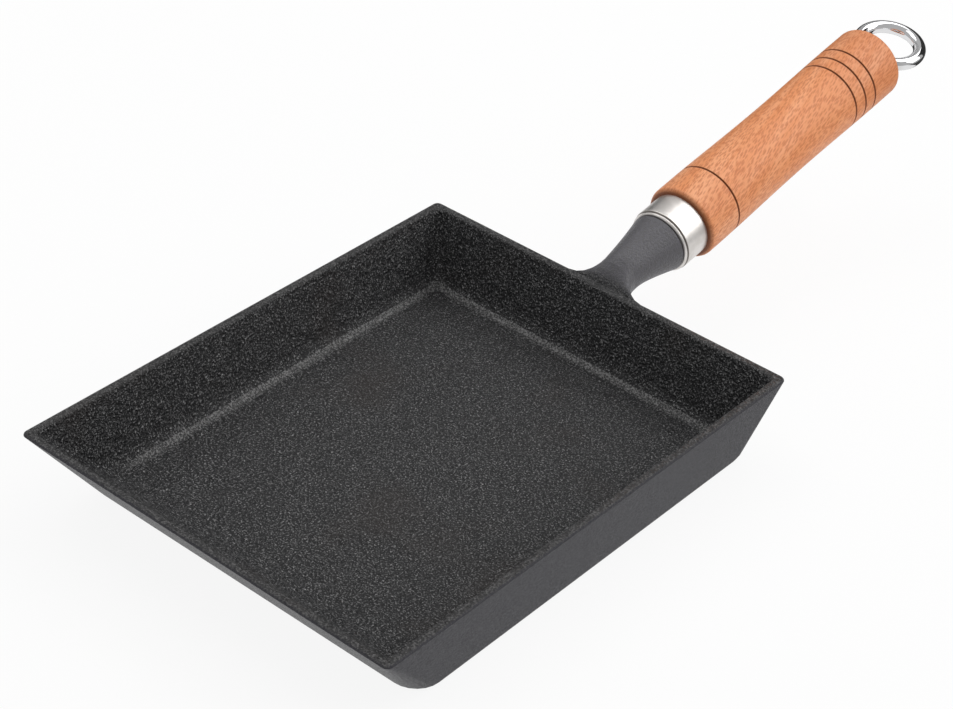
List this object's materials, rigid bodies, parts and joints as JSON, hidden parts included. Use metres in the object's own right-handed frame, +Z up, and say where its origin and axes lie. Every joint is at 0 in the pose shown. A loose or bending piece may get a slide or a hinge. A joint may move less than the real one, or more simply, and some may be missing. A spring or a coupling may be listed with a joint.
{
  "type": "rectangular omelette pan",
  "caption": "Rectangular cast iron pan for rolled omelettes, with one wall leaning out, a turned wooden handle behind a steel ferrule and a swinging hanging ring.",
  "frame": {"origin": "on the resting face, in the middle of the rim's outline", "axes": "+Z up; +Y from the roll-out wall towards the handle; +X to the right of the handle, seen from the roll-out wall"},
  "size_m": [0.1508, 0.3781, 0.071],
  "materials": {
    "iron": "rough cast, seasoned black",
    "ferrule_steel": "satin stainless",
    "beech": "oiled",
    "rod_steel": "zinc bright",
    "ring_chrome": "polished chrome"
  },
  "bodies": {
    "pan_body": {"pan": "iron", "ferrule": "ferrule_steel", "handle": "beech", "handle_rod": "rod_steel"},
    "hanging_ring": {"ring": "ring_chrome"}
  },
  "joints": [
    {"name": "ring_swing", "type": "hinge", "parent": "pan_body", "child": "hanging_ring", "pos_m": [0, 0.25625, 0.05801], "axis": [0.9903, 0.0256, -0.1368], "range_deg": [-85, 95]}
  ]
}
